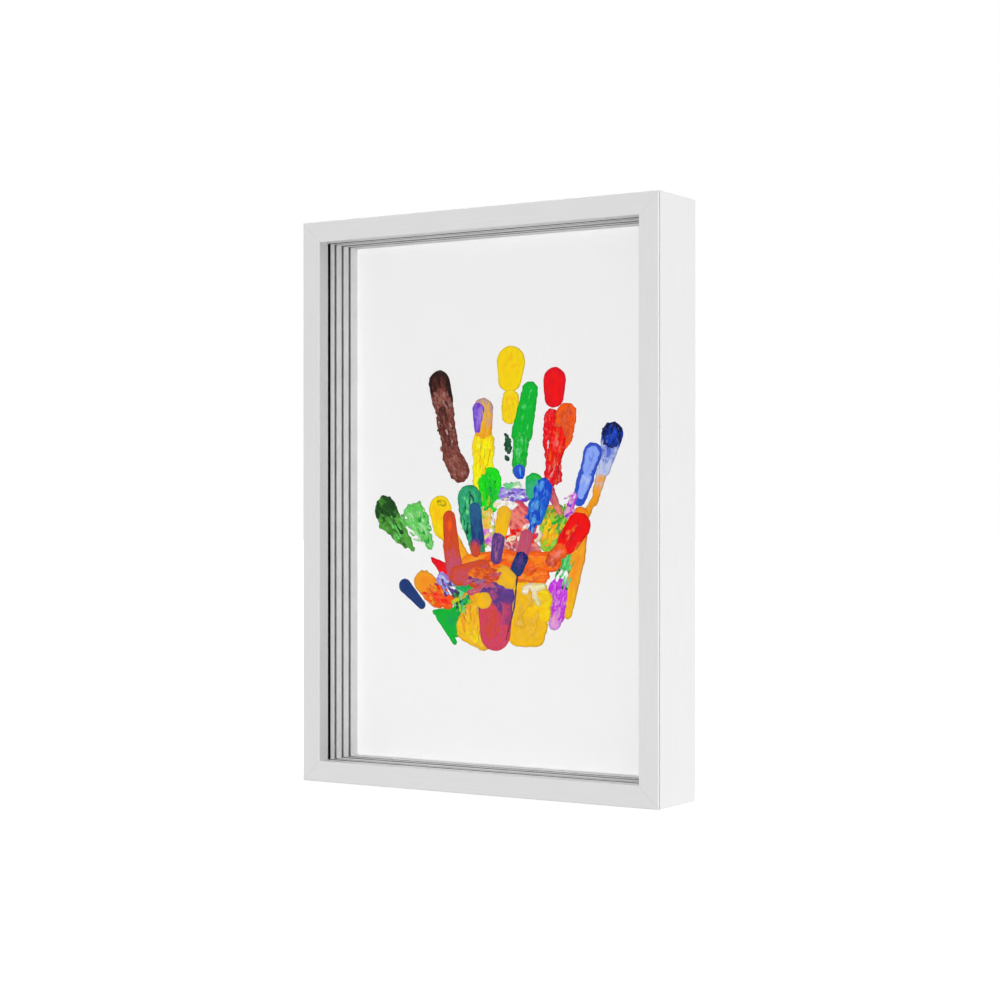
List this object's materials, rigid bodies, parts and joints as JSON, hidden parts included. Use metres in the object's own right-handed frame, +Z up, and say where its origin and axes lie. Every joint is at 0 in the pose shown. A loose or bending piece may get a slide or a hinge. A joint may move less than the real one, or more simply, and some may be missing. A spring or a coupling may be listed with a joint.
{
  "type": "layered handprint frame",
  "caption": "Deep white mitred picture frame holding glass panes one behind another, each with a painted hand print; turn buttons hold the back and sawtooth hangers hang it.",
  "frame": {"origin": "centre of the base, on the underside of the bottom rail", "axes": "+Z up along the height, +X to the viewer's right along the width, +Y from the front to the back"},
  "size_m": [0.224, 0.0435, 0.31],
  "materials": {
    "white_wood": "smooth white satin paint",
    "glass": "clear polished picture glass",
    "spacer_foam": "matt white strip",
    "white_card": "matt white",
    "fibreboard": "raw brown fibreboard",
    "bright_steel": "bright nickel plated",
    "screw_steel": "zinc plated",
    "nail_steel": "plain steel",
    "baby_paint": "dried paint film in pink, purple, navy and rust",
    "child_paint": "dried paint film in orange, yellow, teal, blue and red",
    "mother_paint": "dried paint film in green, yellow, orange, lilac and light blue",
    "father_paint": "dried paint film in brown, yellow, red, navy and dark green"
  },
  "bodies": {
    "frame": {"rail_bottom": "white_wood", "rail_left": "white_wood", "rail_top": "white_wood", "rail_right": "white_wood", "corner_v_nails": "nail_steel", "pane_1": "glass", "pane_2": "glass", "pane_3": "glass", "pane_4": "glass", "spacer_1_bottom": "spacer_foam", "spacer_1_left": "spacer_foam", "spacer_1_top": "spacer_foam", "spacer_1_right": "spacer_foam", "spacer_2_bottom": "spacer_foam", "spacer_2_left": "spacer_foam", "spacer_2_top": "spacer_foam", "spacer_2_right": "spacer_foam", "spacer_3_bottom": "spacer_foam", "spacer_3_left": "spacer_foam", "spacer_3_top": "spacer_foam", "spacer_3_right": "spacer_foam", "spacer_4_bottom": "spacer_foam", "spacer_4_left": "spacer_foam", "spacer_4_top": "spacer_foam", "spacer_4_right": "spacer_foam", "backing_card": "white_card", "backing_board": "fibreboard", "button_screws": "screw_steel", "hanger_portrait": "bright_steel", "hanger_landscape": "bright_steel", "hanger_rivets": "screw_steel", "handprint_baby": "baby_paint", "handprint_child": "child_paint", "handprint_mother": "mother_paint", "handprint_father": "father_paint"},
    "turn_button_left_upper": {"turn_button_left_upper": "bright_steel"},
    "turn_button_left_lower": {"turn_button_left_lower": "bright_steel"},
    "turn_button_right_upper": {"turn_button_right_upper": "bright_steel"},
    "turn_button_right_lower": {"turn_button_right_lower": "bright_steel"},
    "turn_button_top_left": {"turn_button_top_left": "bright_steel"},
    "turn_button_top_right": {"turn_button_top_right": "bright_steel"},
    "turn_button_bottom_left": {"turn_button_bottom_left": "bright_steel"},
    "turn_button_bottom_right": {"turn_button_bottom_right": "bright_steel"}
  },
  "joints": [
    {"name": "turn_left_upper", "type": "hinge", "parent": "frame", "child": "turn_button_left_upper", "pos_m": [-0.1085, 0.0205, 0.245], "axis": [0, 1, 0], "range_deg": [-90, 90]},
    {"name": "turn_left_lower", "type": "hinge", "parent": "frame", "child": "turn_button_left_lower", "pos_m": [-0.1085, 0.0205, 0.065], "axis": [0, 1, 0], "range_deg": [-90, 90]},
    {"name": "turn_right_upper", "type": "hinge", "parent": "frame", "child": "turn_button_right_upper", "pos_m": [0.1085, 0.0205, 0.245], "axis": [0, 1, 0], "range_deg": [-90, 90]},
    {"name": "turn_right_lower", "type": "hinge", "parent": "frame", "child": "turn_button_right_lower", "pos_m": [0.1085, 0.0205, 0.065], "axis": [0, 1, 0], "range_deg": [-90, 90]},
    {"name": "turn_top_left", "type": "hinge", "parent": "frame", "child": "turn_button_top_left", "pos_m": [-0.055, 0.0205, 0.3065], "axis": [0, 1, 0], "range_deg": [-90, 90]},
    {"name": "turn_top_right", "type": "hinge", "parent": "frame", "child": "turn_button_top_right", "pos_m": [0.055, 0.0205, 0.3065], "axis": [0, 1, 0], "range_deg": [-90, 90]},
    {"name": "turn_bottom_left", "type": "hinge", "parent": "frame", "child": "turn_button_bottom_left", "pos_m": [-0.055, 0.0205, 0.0035], "axis": [0, 1, 0], "range_deg": [-90, 90]},
    {"name": "turn_bottom_right", "type": "hinge", "parent": "frame", "child": "turn_button_bottom_right", "pos_m": [0.055, 0.0205, 0.0035], "axis": [0, 1, 0], "range_deg": [-90, 90]}
  ]
}
